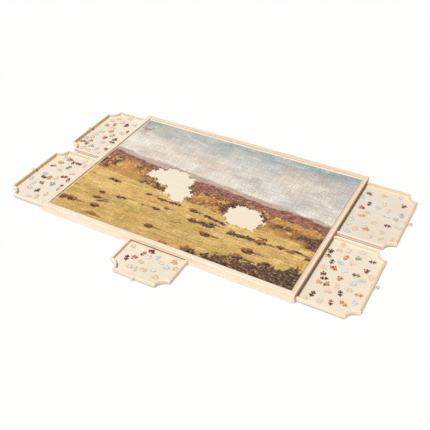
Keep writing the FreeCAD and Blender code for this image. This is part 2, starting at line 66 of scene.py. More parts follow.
camera_data = bpy.data.cameras.new("camera")
camera_data.lens = LENS
camera_data.sensor_width = SENSOR_WIDTH
camera_data.clip_end = FARTHEST_SEEN
camera = bpy.data.objects.new("camera", camera_data)
scene.collection.objects.link(camera)
camera.matrix_world = CAMERA_PLACE
scene.camera = camera
scene.view_settings.view_transform = "Standard"

sun_data = bpy.data.lights.new("key_light", "SUN")
sun_data.energy = SUN_STRENGTH
sun_data.angle = SUN_SPREAD
sun_data.color = SUN_COLOUR
sun = bpy.data.objects.new("key_light", sun_data)
sun.rotation_euler = Vector(SUN_AIM).to_track_quat("-Z", "Y").to_euler()
scene.collection.objects.link(sun)


# --- node building -------------------------------------------------------------------------------

WHITE = (1.0, 1.0, 1.0, 1.0)


def colour(red, green, blue):
    """A colour as it looks on screen, 0 to 255, turned by the sRGB curve into the light values
    that the shader takes."""
    parts = []
    for value in (red, green, blue):
        share = value / 255
        parts.append(share / 12.92 if share <= 0.04045 else ((share + 0.055) / 1.055) ** 2.4)
    return (*parts, 1.0)


def darker(tint, share):
    return tuple(value * share for value in tint[:3]) + (1.0,)


def set_inputs(tree, node, inputs):
    """Links the inputs whose value is another node's output, and sets the others."""
    for key, value in inputs.items():
        if isinstance(value, bpy.types.NodeSocket):
            tree.links.new(value, node.inputs[key])
        else:
            node.inputs[key].default_value = value


def add_node(tree, kind, inputs=None, **settings):
    node = tree.nodes.new(kind)
    for key, value in settings.items():
        setattr(node, key, value)
    set_inputs(tree, node, inputs or {})
    return node


def maths(tree, operation, first, second=0.0, third=0.0, clamp=False):
    inputs = {0: first, 1: second, 2: third}
    node = add_node(tree, "ShaderNodeMath", inputs, operation=operation, use_clamp=clamp)
    return node.outputs[0]


def plus(tree, first, second):
    return maths(tree, "ADD", first, second)


def minus(tree, first, second):
    return maths(tree, "SUBTRACT", first, second)


def times(tree, first, second):
    return maths(tree, "MULTIPLY", first, second)


def times_plus(tree, first, factor, rest):
    return maths(tree, "MULTIPLY_ADD", first, factor, rest)


def length_of(tree, x, y):
    return maths(tree, "SQRT", times_plus(tree, x, x, times(tree, y, y)))


def ease(tree, value, low, high):
    """0 below low, 1 above high, and a smooth rise between them."""
    inputs = {"Value": value, "From Min": low, "From Max": high}
    node = add_node(tree, "ShaderNodeMapRange", inputs, interpolation_type="SMOOTHSTEP")
    return node.outputs[0]


def part(tree, value, low, high, most):
    """The same rise, but only up to most."""
    return times(tree, ease(tree, value, low, high), most)


def mix(tree, factor, first, second, mode="MIX"):
    inputs = {0: factor, 6: first, 7: second}
    node = add_node(tree, "ShaderNodeMix", inputs, data_type="RGBA", blend_type=mode)
    return node.outputs[2]


def shade(tree, body, tint):
    """body multiplied by a colour."""
    return mix(tree, 1.0, body, tint, "MULTIPLY")


def grey(tree, value):
    return add_node(tree, "ShaderNodeCombineColor", {0: value, 1: value, 2: value}).outputs[0]


def join_xy(tree, x, y):
    return add_node(tree, "ShaderNodeCombineXYZ", {0: x, 1: y}).outputs[0]


def split_xyz(tree, vector):
    return add_node(tree, "ShaderNodeSeparateXYZ", {0: vector}).outputs


def noise(tree, place, scale, detail=3.0, roughness=0.5, distortion=0.0):
    inputs = {"Vector": place, "Scale": scale, "Detail": detail, "Roughness": roughness,
              "Distortion": distortion}
    return add_node(tree, "ShaderNodeTexNoise", inputs).outputs["Fac"]


def stretched(tree, place, scale, offset=(0.0, 0.0, 0.0)):
    inputs = {"Vector": place, "Scale": scale, "Location": offset}
    return add_node(tree, "ShaderNodeMapping", inputs).outputs[0]


def bump(tree, height, strength, distance, **inputs):
    inputs.update(Height=height, Strength=strength, Distance=distance)
    return add_node(tree, "ShaderNodeBump", inputs).outputs[0]


def object_place(tree):
    return add_node(tree, "ShaderNodeTexCoord").outputs["Object"]


def upwardness(tree):
    """The height of the face's own normal: 1 on top, 0 on upright faces and -1 underneath."""
    return split_xyz(tree, add_node(tree, "ShaderNodeNewGeometry").outputs["True Normal"])[2]


def new_material(name):
    material = bpy.data.materials.new(name)
    material.use_nodes = True
    tree = material.node_tree
    return material, tree, tree.nodes["Principled BSDF"]


def empty_tree(owner):
    owner.use_nodes = True
    owner.node_tree.nodes.clear()
    return owner.node_tree


def add_object(name, mesh, materials):
    for material in materials:
        mesh.materials.append(material)
    thing = bpy.data.objects.new(name, mesh)
    scene.collection.objects.link(thing)
    return thing


# --- backdrop ------------------------------------------------------------------------------------

FLOOR_REACH = 6.0
FLOOR_HEIGHT = -0.0005
FLOOR_PAINT = (0.93, 0.90, 0.85, 1.0)
FLOOR_GLOW = 0.94  # how much of the floor is its own white, where it is seen directly
# A brown contact shadow is painted into the floor's glow where little open air is over it.
CONTACT_SHADOW_REACH = 0.010
CONTACT_SHADOW_COLOUR = colour(110, 78, 54)
SHADOW_DARKEST, SHADOW_GONE = 0.15, 0.62  # shares of open air over the floor


def seen_directly(tree):
    """1 where the camera, or a mirror or glass, looks at the surface, 0 where it gives light."""
    path = add_node(tree, "ShaderNodeLightPath")
    either = maths(tree, "MAXIMUM", path.outputs["Is Camera Ray"], path.outputs["Is Glossy Ray"])
    return maths(tree, "MAXIMUM", either, path.outputs["Is Transmission Ray"])


def make_world():
    world = bpy.data.worlds.new("studio")
    tree = empty_tree(world)
    soft = add_node(tree, "ShaderNodeBackground", {"Color": SKY_COLOUR, "Strength": SKY_STRENGTH})
    white = add_node(tree, "ShaderNodeBackground", {"Color": WHITE, "Strength": 1.0})
    surface = add_node(tree, "ShaderNodeMixShader", {
        0: seen_directly(tree), 1: soft.outputs[0], 2: white.outputs[0]})
    add_node(tree, "ShaderNodeOutputWorld", {"Surface": surface.outputs[0]})
    return world


def make_floor():
    """A pale floor that looks white, with a brown shadow painted into its glow right beside the
    object.
    """
    material = bpy.data.materials.new("studio_floor")
    tree = empty_tree(material)
    near = add_node(tree, "ShaderNodeAmbientOcclusion", {"Distance": CONTACT_SHADOW_REACH}, samples=8)
    open_air = ease(tree, near.outputs["AO"], SHADOW_DARKEST, SHADOW_GONE)
    paint = add_node(tree, "ShaderNodeBsdfDiffuse", {"Color": FLOOR_PAINT})
    # painted shadow: the glow turns brown next to the object
    tint = mix(tree, open_air, CONTACT_SHADOW_COLOUR, WHITE)
    glow = add_node(tree, "ShaderNodeEmission", {"Color": tint, "Strength": 1.0})
    surface = add_node(tree, "ShaderNodeMixShader", {
        0: times(tree, seen_directly(tree), FLOOR_GLOW), 1: paint.outputs[0], 2: glow.outputs[0]})
    add_node(tree, "ShaderNodeOutputMaterial", {"Surface": surface.outputs[0]})
    mesh = bpy.data.meshes.new("floor")
    corners = [(x * FLOOR_REACH, y * FLOOR_REACH, FLOOR_HEIGHT)
               for x, y in ((-1, -1), (1, -1), (1, 1), (-1, 1))]
    mesh.from_pydata(corners, [], [(0, 1, 2, 3)])
    add_object("floor", mesh, [material])


scene.world = make_world()
make_floor()


# --- wood ----------------------------------------------------------------------------------------

# How much finer the grain is along x, y and z, by the axis that it runs along. None is for bent
# and turned wood, with a grain that lies level.
GRAIN_SCALES = {"x": (1.0, 22.0, 22.0), "y": (22.0, 1.0, 22.0), None: (5.0, 5.0, 30.0)}
FIBRES_ALONG, FIBRES_ACROSS = 3.0, 6.0  # how much finer still the fibres are
SEED_STEP = (1.37, 2.11, 0.73)  # seeds that differ by 1 are this far apart in the noise
STREAK_STRENGTH, PORE_STRENGTH = 0.85, 0.40
PORE_SHADE, SIDE_GRAIN_SHADE = 0.86, 0.85
WARM_CLOUD = (0.985, 0.965, 0.93, 1.0)
# how much darker the painted shade along an edge makes the wood
PAINTED_EDGE_SHADE = (0.78, 0.76, 0.74, 1.0)
STEEPEST_TOP = 0.1  # a face that looks up less than this is a side
WOOD_EDGE = 0.0006  # the radius of the softened edges
RELIEF_DEPTH = 0.0006


def wood(name, along, pale, dark, seed, grain=1.0, roughness=0.42, edge=WOOD_EDGE, raw_or_shaded_side=None,
         painted_shade_edge=None):
    """Pale sanded wood with streaks in the colour dark, and grain is how strong they are.
    raw_or_shaded_side is the colour of the upright faces and the underside, where they aren't
    as the top is: raw wood on the board, and painted shade or light on the other woods that set
    it. painted_shade_edge is a pair of places along x for a painted shade on the wood: darkest up
    to the first and gone from the second on."""
    material, tree, shader = new_material(name)
    place = object_place(tree)
    coarse = GRAIN_SCALES[along]
    fine = tuple(value * (FIBRES_ACROSS if value > 1.0 else FIBRES_ALONG) for value in coarse)
    offset = tuple(seed * step for step in SEED_STEP)
    rings = noise(tree, stretched(tree, place, coarse, offset), scale=7.0, detail=5.0,
                  roughness=0.62, distortion=0.35)
    fibres = noise(tree, stretched(tree, place, fine, offset), scale=9.0, roughness=0.7)
    cloud = noise(tree, stretched(tree, place, (1.0, 1.0, 1.0), offset), scale=4.5, detail=2.0)

    streak = ease(tree, rings, 0.36, 0.70)
    streak = maths(tree, "MULTIPLY", streak, STREAK_STRENGTH * grain, clamp=True)
    body = mix(tree, streak, pale, dark)
    pores = part(tree, fibres, 0.56, 0.76, PORE_STRENGTH * grain)
    body = mix(tree, pores, body, darker(dark, PORE_SHADE))
    body = shade(tree, body, mix(tree, ease(tree, cloud, 0.35, 0.65), WHITE, WARM_CLOUD))
    # painted shade: the wood is darker along one edge, from the first place to the second
    if painted_shade_edge:
        x = split_xyz(tree, place)[0]
        body = mix(tree, ease(tree, x, *painted_shade_edge), shade(tree, body, PAINTED_EDGE_SHADE), body)
    # upright faces and underside take their own colour: raw wood on the board, painted shade or
    # light on the other woods
    if raw_or_shaded_side:
        side = maths(tree, "LESS_THAN", upwardness(tree), STEEPEST_TOP)
        side_wood = mix(tree, fibres, raw_or_shaded_side, darker(raw_or_shaded_side, SIDE_GRAIN_SHADE))
        body = mix(tree, side, body, side_wood)

    relief = times_plus(tree, rings, 0.35, fibres)
    bevel = add_node(tree, "ShaderNodeBevel", {"Radius": edge}, samples=4).outputs[0]
    set_inputs(tree, shader, {
        "Base Color": body,
        "Roughness": times_plus(tree, fibres, 0.16, roughness - 0.08),
        "Specular IOR Level": 0.3,
        "Normal": bump(tree, relief, 0.22, RELIEF_DEPTH, Normal=bevel),
    })
    return material


RAIL = colour(253, 240, 222), colour(245, 220, 190)
WALL = colour(252, 237, 218), colour(242, 214, 184)
PANEL = colour(244, 233, 216), colour(236, 220, 198)
VENEER = {"grain": 0.55, "roughness": 0.5}
TURNED = {"roughness": 0.36, "edge": 0.0004}

# The right rail's wood carries painted shade: a brown on its upright sides and underside, and a
# darker strip along the inner edge of its top.
right_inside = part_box("right_rail")[0].x
RIGHT_PAINTED_SHADE_WIDTH = 0.0125

rail_x = wood("rail_wood_x", "x", *RAIL, 1)
rail_y = wood("rail_wood_y", "y", *RAIL, 2)
# painted shade: the back rail is a darker tan copy of the rail wood, as less light falls at the
# back
tan_x_shaded = wood("tan_wood_x", "x", colour(245, 226, 204), colour(234, 201, 168), 12)
right_rail_shaded = wood("right_rail_wood", "y", colour(253, 236, 214), colour(243, 213, 182), 13,
               raw_or_shaded_side=colour(202, 164, 126),
               painted_shade_edge=(right_inside, right_inside + RIGHT_PAINTED_SHADE_WIDTH))
wall_x = wood("wall_wood_x", "x", *WALL, 3)
wall_y = wood("wall_wood_y", "y", *WALL, 4)
bent = wood("bent_wood", None, *WALL, 5)
face_y = wood("face_wood_y", "y", colour(243, 218, 188), colour(228, 188, 150), 11)
# painted shade: the left drawers' faces take darker golden copies of the face wood, darkest on the
# back drawer, with golden upright sides that look brown in their shade
gold_shaded_y = wood("gold_wood_y", "y", colour(228, 191, 142), colour(216, 166, 112), 15,
              raw_or_shaded_side=colour(255, 220, 166))
gold_shaded_dim = wood("gold_wood_dim", "y", colour(216, 173, 118), colour(205, 150, 93), 15,
                raw_or_shaded_side=colour(255, 222, 170))
# painted light and shade: the drawers' far walls, whose inner sides face the light, take warmer
# golden copies of the wall wood, tan and darker in the back drawers; near_back gives the back
# drawers' near walls pinker, darker upright faces
far_tan = wood("far_tan_wood", "x", colour(240, 217, 184), colour(229, 193, 148), 16,
               raw_or_shaded_side=colour(255, 234, 196))
far_pale = wood("far_pale_wood", "x", colour(253, 235, 208), colour(243, 212, 172), 17)
near_back = wood("near_back_wood", "x", *WALL, 3, raw_or_shaded_side=colour(246, 209, 182))
frame_y = wood("inner_wood", "y", colour(206, 168, 124), colour(180, 138, 94), 6)
panel_x = wood("panel_veneer_x", "x", *PANEL, 7, **VENEER)
panel_y = wood("panel_veneer_y", "y", *PANEL, 8, **VENEER)
# painted shade: a darker copy of the floor veneer for the right back drawer, where less light
# falls
panel_dim = wood("panel_veneer_dim", "x", colour(237, 225, 210), colour(229, 212, 192), 14,
                 **VENEER)
board = wood("board_veneer", "x", colour(248, 237, 218), colour(242, 226, 200), 9,
             grain=0.5, roughness=0.5, raw_or_shaded_side=colour(150, 108, 70))
turned = wood("turned_wood", None, colour(255, 240, 218), colour(247, 216, 188), 10, **TURNED)
# painted shade: the right drawers' knobs, whose ends face away from the light, take a darker rosy
# copy of the turned wood
turned_rosy_shaded = wood("turned_wood_rosy", None, colour(234, 198, 174), colour(216, 170, 146), 10,
                   **TURNED)


# --- card and cuts -------------------------------------------------------------------------------

COLUMNS, ROWS = 50, 30
# The printed cuts leave pieces of this width. The puzzle's own pieces, which show at the edges of
# its gaps, are 17 mm wide.
PRINTED_WIDTH = 0.020
TAB_REACH_MM, TAB_RADIUS_MM = 2.7, 3.0  # from the edge to the tab's middle, and its radius
FAR_OFF_MM = 100.0


def cardboard():
    material, tree, shader = new_material("puzzle_card")
    place = object_place(tree)
    speck = noise(tree, place, scale=900.0, roughness=0.7)
    layers = noise(tree, stretched(tree, place, (40.0, 40.0, 1400.0)), scale=1.0, detail=2.0)
    body = mix(tree, speck, colour(196, 184, 166), colour(166, 152, 134))
    body = mix(tree, times(tree, layers, 0.5), body, colour(210, 200, 184))
    set_inputs(tree, shader, {
        "Base Color": body,
        "Roughness": 0.85,
        "Normal": bump(tree, speck, 0.3, 0.0003),
    })
    return material


def tab_distance(tree, along, aside, off):
    """How far a point is outside a piece whose edge runs through 0 and has a round tab, in mm.
    off is 1 where the piece has no tab."""
    reach = length_of(tree, minus(tree, along, TAB_REACH_MM), aside)
    ring = times_plus(tree, off, FAR_OFF_MM, minus(tree, reach, TAB_RADIUS_MM))
    return maths(tree, "MINIMUM", along, ring)


def cut_lines(tree, u, v, cell_x, cell_y):
    """Distance in mm to the nearest cut between puzzle pieces, and the column and row of the
    piece. u and v count pieces from the left and from the back, and cell_x and cell_y are the
    pieces' width and depth in mm."""
    found = []
    for a, b, count, size, other, parity in ((u, v, COLUMNS, cell_x, cell_y, 1.0),
                                             (v, u, ROWS, cell_y, cell_x, 0.0)):
        line = maths(tree, "ROUND", a)
        cell = maths(tree, "FLOOR", b)
        number = plus(tree, plus(tree, line, cell), parity)
        odd = maths(tree, "FLOORED_MODULO", number, 2.0)
        turn = times_plus(tree, odd, -2.0, 1.0)
        along = times(tree, times(tree, minus(tree, a, line), size), turn)
        aside = times(tree, minus(tree, minus(tree, b, cell), 0.5), other)
        first = maths(tree, "LESS_THAN", line, 0.5)
        last = maths(tree, "GREATER_THAN", line, count - 0.5)
        outside = tab_distance(tree, along, aside, plus(tree, first, last))
        inside = maths(tree, "LESS_THAN", outside, 0.0)
        same = maths(tree, "ABSOLUTE", minus(tree, inside, odd))
        found.append((maths(tree, "ABSOLUTE", outside), minus(tree, line, same)))
    (across, column), (down, row) = found
    return maths(tree, "MINIMUM", across, down), column, row


# --- picture on the puzzle -----------------------------------------------------------------------

# Soft patches that are laid over the picture, in this order. In each row are the noise's squash,
# scale, detail, roughness and shift, the values between which a patch fades in, how much of what
# is under it a patch hides, and its colour.
CLOUDS = (
    (1.7, 3.4, 6.0, 0.60, 3.0, 0.46, 0.60, 0.70, colour(236, 215, 192)),
    (2.0, 5.5, 6.0, 0.64, 8.0, 0.49, 0.64, 0.50, colour(182, 188, 196)),
    (2.0, 4.0, 5.0, 0.60, 37.0, 0.50, 0.64, 0.50, colour(206, 184, 178)),
    (2.2, 6.5, 6.0, 0.62, 15.0, 0.53, 0.64, 0.60, colour(246, 238, 226)),
)
TWIGS = (
    (1.0, 110.0, 3.0, 0.7, 5.0, 0.46, 0.60, 0.70, colour(110, 62, 46)),
)
STANDS_OF_TREES = (
    (1.6, 5.0, 3.0, 0.5, 21.0, 0.50, 0.60, 0.72, colour(82, 46, 42)),
    (1.6, 4.0, 3.0, 0.5, 90.0, 0.49, 0.60, 0.55, colour(242, 182, 98)),
)
OLIVE_FIELDS = (
    (3.0, 3.4, 3.0, 0.5, 30.0, 0.46, 0.62, 0.60, colour(204, 176, 94)),
)
GRASSES = (
    (4.5, 7.0, 4.0, 0.6, 44.0, 0.56, 0.68, 0.60, colour(252, 220, 148)),
    (5.0, 30.0, 3.0, 0.6, 60.0, 0.54, 0.66, 0.55, colour(158, 108, 62)),
    (9.0, 12.0, 4.0, 0.7, 66.0, 0.54, 0.64, 0.40, colour(128, 96, 50)),
)
BRUSH_MARKS = (
    (1.3, 90.0, 2.0, 0.6, 70.0, 0.52, 0.66, 0.30, colour(250, 226, 180)),
    (1.3, 120.0, 2.0, 0.6, 80.0, 0.54, 0.68, 0.22, colour(120, 84, 66)),
)
# Hedges: height and slope of the line, shift of its noise, and width.
HEDGES = ((0.350, -0.10, 3.0, 0.7), (0.210, 0.04, 17.0, 1.0))
BUSH_SQUASH = 2.6
BUSH_CHANCE = 0.55


class Canvas:
    """The picture's node tree, with u and v, which run from 0 at the left and the near edge to 1
    at the right and the far edge. flat is the same place with equal scales, for noise."""

    def __init__(self, tree, u, v, proportion):
        self.tree, self.u, self.v = tree, u, v
        self.flat = join_xy(tree, u, times(tree, v, proportion))

    def field(self, scale, squash=1.0, detail=4.0, roughness=0.6, shift=0.0):
        """Noise, squashed from front to back."""
        place = stretched(self.tree, self.flat, (1.0, squash, 1.0), (shift, shift * 0.7, shift))
        return noise(self.tree, place, scale, detail, roughness, 0.3)

    def ripple(self, shift, scale, detail, roughness):
        """Noise that changes only from left to right."""
        return noise(self.tree, join_xy(self.tree, self.u, shift), scale, detail, roughness)

    def line(self, base, slope, height, scale, shift):
        """A line across the print that rises and falls, as a share of its depth."""
        wave = minus(self.tree, self.ripple(shift, scale, detail=4.0, roughness=0.6), 0.5)
        level = times_plus(self.tree, self.u, slope, base)
        return times_plus(self.tree, wave, height, level)

    def below(self, edge, soft):
        return ease(self.tree, minus(self.tree, edge, self.v), -soft, soft)

    def cells(self, place, scale, randomness=1.0):
        inputs = {"Vector": place, "Scale": scale, "Randomness": randomness}
        return add_node(self.tree, "ShaderNodeTexVoronoi", inputs).outputs

    def patches(self, picture, rows):
        for squash, scale, detail, roughness, shift, low, high, most, tint in rows:
            field = self.field(scale, squash, detail, roughness, shift)
            picture = mix(self.tree, part(self.tree, field, low, high, most), picture, tint)
        return picture


def paint_sky(canvas):
    """Cool along the far edge and to the right, with warm cream and rose clouds."""
    tree, u, v = canvas.tree, canvas.u, canvas.v
    cool = ease(tree, times_plus(tree, u, 0.30, v), 0.66, 1.26)
    sky = mix(tree, cool, colour(244, 236, 224), colour(192, 194, 194))
    sky = canvas.patches(sky, CLOUDS)
    ragged = minus(tree, canvas.field(scale=5.0, squash=1.6, detail=5.0, shift=25.0), 0.5)
    rim = times_plus(tree, u, -0.06, times_plus(tree, ragged, 0.60, v))
    return mix(tree, part(tree, rim, 0.80, 1.02, 0.80), sky, colour(134, 164, 172))


def paint_hills(canvas, picture):
    """Far hills, and a nearer ridge of heather."""
    tree = canvas.tree
    hills = mix(tree, canvas.field(scale=16.0), colour(214, 190, 168), colour(176, 152, 146))
    skyline = canvas.line(base=0.655, slope=-0.13, height=0.15, scale=3.0, shift=4.0)
    picture = mix(tree, canvas.below(skyline, soft=0.008), picture, hills)
    tufts = canvas.field(scale=50.0, squash=1.4, detail=3.0, roughness=0.7, shift=6.0)
    heather = mix(tree, ease(tree, tufts, 0.40, 0.60), colour(168, 112, 92), colour(116, 70, 68))
    ridge = canvas.line(base=0.615, slope=-0.11, height=0.12, scale=4.5, shift=51.0)
    return mix(tree, canvas.below(ridge, soft=0.005), picture, heather)


def paint_woods(canvas, picture):
    """Large and small rounded crowns from yellow to rust, with dark gaps between them."""
    tree = canvas.tree
    large, small = (canvas.cells(canvas.flat, scale) for scale in (34.0, 72.0))
    choice = ease(tree, canvas.field(scale=9.0, detail=3.0, shift=63.0), 0.47, 0.53)
    tone = mix(tree, choice, large["Color"], small["Color"])
    tone = add_node(tree, "ShaderNodeSeparateColor", {0: tone}).outputs[0]
    hollow = mix(tree, choice, large["Distance"], small["Distance"])
    leaf = mix(tree, ease(tree, tone, 0.10, 0.50), colour(152, 82, 52), colour(226, 150, 80))
    leaf = mix(tree, ease(tree, tone, 0.60, 0.95), leaf, colour(246, 208, 130))
    leaf = canvas.patches(leaf, TWIGS)
    leaf = mix(tree, part(tree, hollow, 0.34, 0.72, 0.9), leaf, colour(62, 38, 38))
    leaf = canvas.patches(leaf, STANDS_OF_TREES)
    edge = canvas.line(base=0.57, slope=-0.12, height=0.15, scale=5.0, shift=9.0)
    edge = times_plus(tree, large["Distance"], -0.030, edge)
    return mix(tree, canvas.below(edge, soft=0.004), picture, leaf)


def paint_meadow(canvas, picture, near):
    """Gold far off, olive and darker nearer, in long level strokes."""
    tree = canvas.tree
    strokes = canvas.field(scale=5.0, squash=7.0, detail=5.0, shift=2.0)
    meadow = mix(tree, ease(tree, strokes, 0.35, 0.65), colour(250, 208, 132),
                 colour(228, 180, 104))
    meadow = canvas.patches(meadow, OLIVE_FIELDS)
    meadow = mix(tree, times(tree, near, 0.36), meadow, colour(166, 140, 68))
    meadow = canvas.patches(meadow, GRASSES)
    edge = canvas.line(base=0.42, slope=-0.12, height=0.10, scale=4.0, shift=14.0)
    return mix(tree, canvas.below(edge, soft=0.006), picture, meadow)


def paint_hedges(canvas, picture, bushy, brush):
    """Hedges across the meadow, with gaps."""
    tree = canvas.tree
    for base, slope, shift, width in HEDGES:
        line = canvas.line(base, slope, height=0.05, scale=5.0, shift=shift)
        off = maths(tree, "ABSOLUTE", minus(tree, line, canvas.v))
        stand = canvas.ripple(shift + 5.0, scale=6.0, detail=3.0, roughness=0.5)
        stand = ease(tree, stand, 0.49, 0.56)
        wide = times(tree, times_plus(tree, bushy, 0.060 * width, -0.014 * width), stand)
        picture = mix(tree, ease(tree, minus(tree, wide, off), -0.002, 0.004), picture, brush)
    return picture


def paint_bushes(canvas, picture, near, bushy, brush):
    """Shrubs on the meadow with their shadows, larger towards the near edge."""
    tree = canvas.tree
    spread = stretched(tree, canvas.flat, (1.0, BUSH_SQUASH, 1.0), (0.31, 0.17, 0.0))
    bushes = canvas.cells(spread, scale=7.0, randomness=0.9)
    local = add_node(tree, "ShaderNodeVectorMath", {0: spread, 1: bushes["Position"]},
                     operation="SUBTRACT")
    local = split_xyz(tree, local.outputs[0])
    chance = add_node(tree, "ShaderNodeSeparateColor", {0: bushes["Color"]}).outputs
    edge = canvas.line(base=0.38, slope=-0.10, height=0.04, scale=4.0, shift=14.0)
    grown = times(tree, maths(tree, "LESS_THAN", chance[1], BUSH_CHANCE),
                  canvas.below(edge, soft=0.01))
    size = times_plus(tree, chance[0], 0.55, times_plus(tree, near, 0.75, 0.30))

    def blot(shift_x, half_x, half_y, rough):
        """An oval spot by each bush's foot, its halves a share of the print's width."""
        wide = maths(tree, "DIVIDE", minus(tree, local[0], shift_x), half_x)
        high = maths(tree, "DIVIDE", local[1], half_y * BUSH_SQUASH)
        reach = maths(tree, "DIVIDE", length_of(tree, wide, high), size)
        reach = times_plus(tree, bushy, rough, reach)
        outside = ease(tree, reach, 0.90 + rough / 2, 1.05 + rough / 2)
        return times(tree, minus(tree, 1.0, outside), grown)

    shadow = blot(shift_x=0.016, half_x=0.040, half_y=0.0045, rough=0.5)
    picture = mix(tree, times(tree, shadow, 0.75), picture, colour(104, 76, 50))
    crown = blot(shift_x=0.0, half_x=0.019, half_y=0.0125, rough=1.6)
    lit = part(tree, minus(tree, local[1], local[0]), -0.004, 0.022, 0.65)
    return mix(tree, crown, picture, mix(tree, lit, brush, colour(206, 122, 58)))


def paint_thicket(canvas, picture, brush):
    """A dark thicket along the near edge, deepest to the right."""
    tree = canvas.tree
    edge = canvas.line(base=-0.20, slope=0.34, height=0.26, scale=6.0, shift=27.0)
    ragged = minus(tree, canvas.field(scale=26.0, roughness=0.7, shift=33.0), 0.5)
    inside = times_plus(tree, ragged, 0.24, minus(tree, edge, canvas.v))
    return mix(tree, ease(tree, inside, -0.008, 0.012), picture, brush)


def autumn_valley(canvas):
    """An autumn valley under a cloudy sky."""
    tree = canvas.tree
    near = ease(tree, canvas.v, 0.46, 0.02)
    bushy = canvas.field(scale=60.0, detail=3.0, roughness=0.7, shift=12.0)
    twigs = ease(tree, canvas.field(scale=90.0, roughness=0.7, shift=40.0), 0.40, 0.62)
    brush = mix(tree, twigs, colour(44, 36, 38), colour(120, 80, 54))
    picture = paint_sky(canvas)
    picture = paint_hills(canvas, picture)
    picture = paint_woods(canvas, picture)
    picture = paint_meadow(canvas, picture, near)
    picture = paint_hedges(canvas, picture, bushy, brush)
    picture = paint_bushes(canvas, picture, near, bushy, brush)
    picture = paint_thicket(canvas, picture, brush)
    picture = canvas.patches(picture, BRUSH_MARKS)
    grain = canvas.field(scale=230.0, squash=1.2, detail=2.0, roughness=0.7, shift=50.0)
    return shade(tree, picture, grey(tree, times_plus(tree, grain, 0.80, 0.62)))


PIECE_SHADES = 0.16, 0.92  # how much the pieces' shades differ, and the darkest of them


def puzzle_print():
    """The picture, cut into pieces, each a shade apart, with dark cuts between them."""
    low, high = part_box("puzzle")
    width, depth = high.x - low.x, high.y - low.y
    material, tree, shader = new_material("puzzle_print")
    place = split_xyz(tree, object_place(tree))
    x, y = minus(tree, place[0], low.x), minus(tree, place[1], low.y)
    u, v = maths(tree, "DIVIDE", x, width), maths(tree, "DIVIDE", y, depth)
    picture = autumn_valley(Canvas(tree, u, v, depth / width))

    cell_x, cell_y = PRINTED_WIDTH, depth / ROWS
    gap, column, row = cut_lines(tree, maths(tree, "DIVIDE", x, cell_x),
                                 maths(tree, "DIVIDE", minus(tree, depth, y), cell_y),
                                 cell_x * 1000, cell_y * 1000)
    piece = add_node(tree, "ShaderNodeTexWhiteNoise", {"Vector": join_xy(tree, column, row)},
                     noise_dimensions="3D").outputs["Value"]
    picture = shade(tree, picture, grey(tree, times_plus(tree, piece, *PIECE_SHADES)))
    groove = minus(tree, 1.0, ease(tree, gap, 0.12, 0.46))
    picture = mix(tree, times(tree, groove, 0.6), picture, colour(74, 58, 48))

    # the sides of the puzzle and the walls of its gaps are bare card, painted much darker than the
    # loose pieces' card as shade
    top = maths(tree, "GREATER_THAN", upwardness(tree), 0.5)
    picture = mix(tree, top, colour(112, 96, 78), picture)
    height = times(tree, ease(tree, gap, 0.0, 0.8), top)
    set_inputs(tree, shader, {
        "Base Color": picture,
        "Roughness": times_plus(tree, piece, 0.08, 0.36),
        "Specular IOR Level": 0.15,
        "Normal": bump(tree, height, 0.5, 0.0006),
    })
    return material


def piece_print(name, first, second, seed):
    """A scrap of the print: two colours in soft patches."""
    material, tree, shader = new_material(f"print_{name}")
    offset = (seed * 0.37, seed * 0.51, 0.0)
    place = stretched(tree, object_place(tree), (1.0, 1.0, 1.0), offset)
    patch = noise(tree, place, scale=95.0, roughness=0.6, distortion=0.6)
    body = mix(tree, ease(tree, patch, 0.44, 0.56), first, second)
    fleck = noise(tree, place, scale=420.0, roughness=0.7)
    body = mix(tree, part(tree, fleck, 0.55, 0.75, 0.35), body, darker(first, 0.7))
    set_inputs(tree, shader, {
        "Base Color": body,
        "Roughness": 0.4,
        "Normal": bump(tree, noise(tree, place, scale=600.0, detail=2.0), 0.12, 0.0003),
    })
    return material


card = cardboard()
PRINT_COLOURS = {
    "blue": (colour(228, 228, 232), colour(200, 208, 220)),
    "mist": (colour(240, 234, 230), colour(224, 218, 224)),
    "sand": (colour(244, 226, 196), colour(234, 200, 158)),
    "amber": (colour(236, 178, 106), colour(194, 116, 56)),
    "rust": (colour(226, 148, 92), colour(104, 54, 36)),
    "maroon": (colour(150, 60, 38), colour(58, 30, 28)),
    "dark": (colour(40, 32, 32), colour(110, 66, 44)),
    "moss": (colour(184, 168, 134), colour(92, 86, 70)),
    "rose": (colour(243, 222, 206), colour(232, 200, 182)),
    "slate": (colour(204, 208, 212), colour(152, 160, 172)),
    "azure": (colour(164, 190, 208), colour(104, 150, 188)),
    "clay": (colour(226, 200, 186), colour(164, 130, 114)),
}
PRINTS = {name: piece_print(name, *pair, seed)
          for seed, (name, pair) in enumerate(PRINT_COLOURS.items(), start=1)}


# --- CAD parts get their finish ------------------------------------------------------------------

CASE_FINISH = {
    "front_rail": rail_x, "back_rail": tan_x_shaded, "left_rail": rail_y, "right_rail": right_rail_shaded,
    "left_guide": frame_y, "right_guide": frame_y, "centre_brace": frame_y,
    "left_runner": wall_x, "right_runner": wall_x,
    "work_surface": board, "puzzle": puzzle_print(),
}
DRAWER_PARTS = ("floor", "face", "back", "left_side", "right_side", "corners", "knob")
# The tan, golden, dim and rosy woods in these rows are painted light and shade on one drawer's
# parts, not other woods.
DRAWER_FINISH = {
    "left_back_drawer": (panel_x, gold_shaded_dim, wall_y, far_tan, near_back, bent, turned),
    "left_front_drawer": (panel_x, gold_shaded_y, wall_y, far_pale, wall_x, bent, turned),
    "right_back_drawer": (panel_dim, face_y, wall_y, near_back, far_tan, bent, turned_rosy_shaded),
    "right_front_drawer": (panel_x, face_y, wall_y, wall_x, far_pale, bent, turned_rosy_shaded),
    "front_drawer": (panel_y, wall_x, wall_x, wall_y, wall_y, bent, turned),
}


